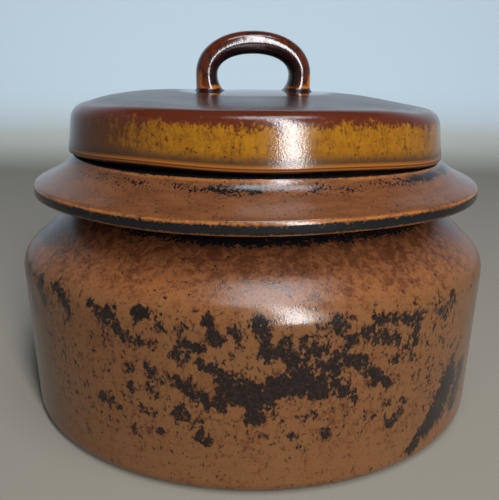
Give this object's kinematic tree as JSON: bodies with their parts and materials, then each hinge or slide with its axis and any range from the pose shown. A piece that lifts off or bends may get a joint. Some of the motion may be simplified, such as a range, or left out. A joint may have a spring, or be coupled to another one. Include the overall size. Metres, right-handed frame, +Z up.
{
  "type": "soup tureen",
  "caption": "Wide glazed stoneware soup tureen with straight walls, a sloping shoulder and a flared brim, and a cap-shaped lid with a loop handle.",
  "frame": {"origin": "centre of the foot, on the surface that the tureen stands on", "axes": "+Z up through the lid's handle, +X along the handle's arch from leg to leg, +Y to the back"},
  "size_m": [0.2536, 0.2536, 0.1981],
  "materials": {
    "bowl_glaze": "gloss rust-brown glaze with black-brown flecks and pools",
    "lid_glaze": "gloss amber glaze on the wall, dark red-brown on the crown and handle"
  },
  "bodies": {
    "root": {"bowl": "bowl_glaze", "lid": "lid_glaze"}
  },
  "joints": []
}
